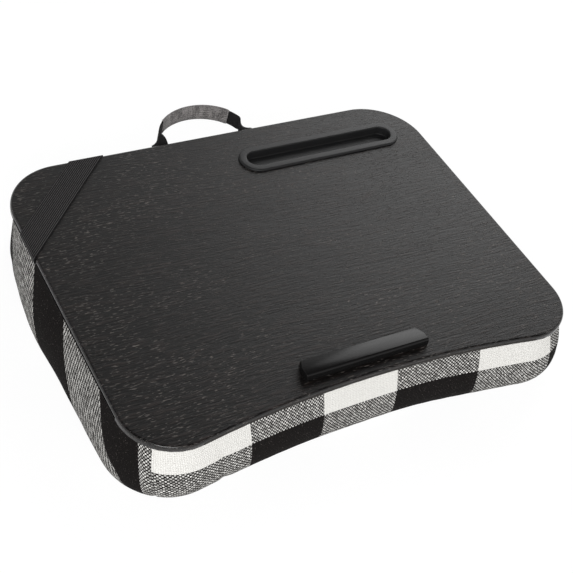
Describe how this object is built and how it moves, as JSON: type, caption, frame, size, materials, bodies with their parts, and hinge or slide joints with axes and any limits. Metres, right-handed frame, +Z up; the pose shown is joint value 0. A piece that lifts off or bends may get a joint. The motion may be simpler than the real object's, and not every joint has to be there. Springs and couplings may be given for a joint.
{
  "type": "cushioned lap desk",
  "caption": "Cushioned lap desk: black wood-grain board with a phone slot, a device ledge, an elastic corner strap and a rear carry handle on a checked cloth bead cushion.",
  "frame": {"origin": "on the flat underside, at the middle of the board", "axes": "+X along the long side to the right, +Y to the rear edge with the handle, +Z up out of the worktop"},
  "size_m": [0.486, 0.415, 0.0866],
  "materials": {
    "mdf": "raw fibreboard with a black painted edge",
    "laminate": "black wood-grain laminate, satin, rounded edge",
    "slot_plastic": "dark grey moulded plastic, satin",
    "ledge_plastic": "black moulded plastic, glossy",
    "zinc_steel": "zinc-plated steel",
    "elastic": "black ribbed elastic webbing",
    "webbing": "black woven webbing",
    "sleeve_cloth": "grey marled woven cloth",
    "lining_cloth": "plain off-white non-woven cloth",
    "checked_cloth": "coarse woven cloth in black, grey and off-white checks",
    "bead_bag": "white bag of polystyrene beads"
  },
  "bodies": {
    "desk": {"board_core": "mdf", "woodgrain_facing": "laminate", "phone_slot_insert": "slot_plastic", "device_ledge": "ledge_plastic", "ledge_screws": "zinc_steel", "elastic_strap": "elastic", "strap_staples": "zinc_steel", "handle_tab_left": "webbing", "handle_tab_right": "webbing", "handle_staples": "zinc_steel", "cover_top_panel": "lining_cloth", "cover_front_panel": "checked_cloth", "cover_left_panel": "checked_cloth", "cover_rear_panel": "checked_cloth", "cover_right_panel": "checked_cloth", "cover_bottom_panel": "checked_cloth", "bead_bag_left": "bead_bag", "bead_bag_right": "bead_bag", "cover_staples": "zinc_steel"},
    "handle": {"handle_webbing": "webbing", "handle_sleeve": "sleeve_cloth"}
  },
  "joints": [
    {"name": "handle_swing", "type": "hinge", "parent": "desk", "child": "handle", "pos_m": [-0.005, 0.182, 0.0729], "axis": [1, 0, 0], "range_deg": [-35, 59]}
  ]
}
